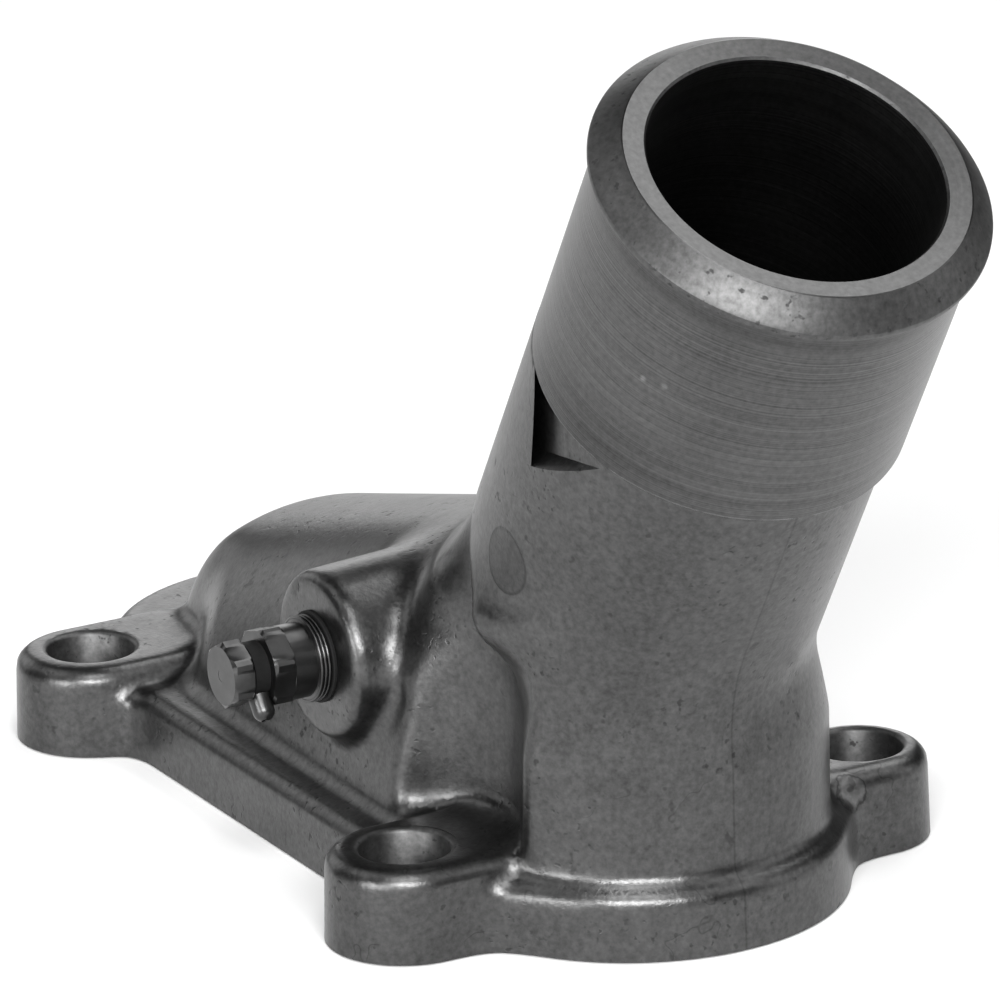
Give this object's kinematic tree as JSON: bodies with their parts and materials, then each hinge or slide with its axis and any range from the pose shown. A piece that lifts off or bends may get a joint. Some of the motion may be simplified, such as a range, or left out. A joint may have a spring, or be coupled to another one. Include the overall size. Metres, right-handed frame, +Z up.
{
  "type": "engine coolant outlet housing",
  "caption": "Die-cast coolant outlet housing with a bolt flange, an arched hood, a leaning beaded hose neck and a side bleed screw.",
  "frame": {"origin": "on the flange face, midway between the two bolt holes beside the outlet body, on the body's upright axis", "axes": "+Z up from the flange face, +X the way the hose neck leans, away from the hood"},
  "size_m": [0.1365, 0.0662, 0.0894],
  "materials": {
    "cast_aluminium": "as cast, tumbled",
    "plated_steel": "plated, turned",
    "seal_rubber": "matt"
  },
  "bodies": {
    "housing": {"housing_casting": "cast_aluminium", "bleed_valve_body": "plated_steel", "bleed_sealing_washer": "seal_rubber", "bleed_spout": "plated_steel"},
    "screw_seal": {"bleed_screw_o_ring": "seal_rubber"},
    "screw": {"bleed_screw": "plated_steel"}
  },
  "joints": [
    {"name": "bleed_screw_rise", "type": "slide", "parent": "housing", "child": "screw_seal", "axis": [0, -1, 0], "range_m": [0, 0.002]},
    {"name": "bleed_screw_turn", "type": "hinge", "parent": "screw_seal", "child": "screw", "pos_m": [-0.022, -0.023, 0.0214], "axis": [0, -1, 0], "continuous": true}
  ],
  "couplings": [
    {"joint": "bleed_screw_turn", "follows": "bleed_screw_rise", "rad_per_m": 6283.2}
  ]
}
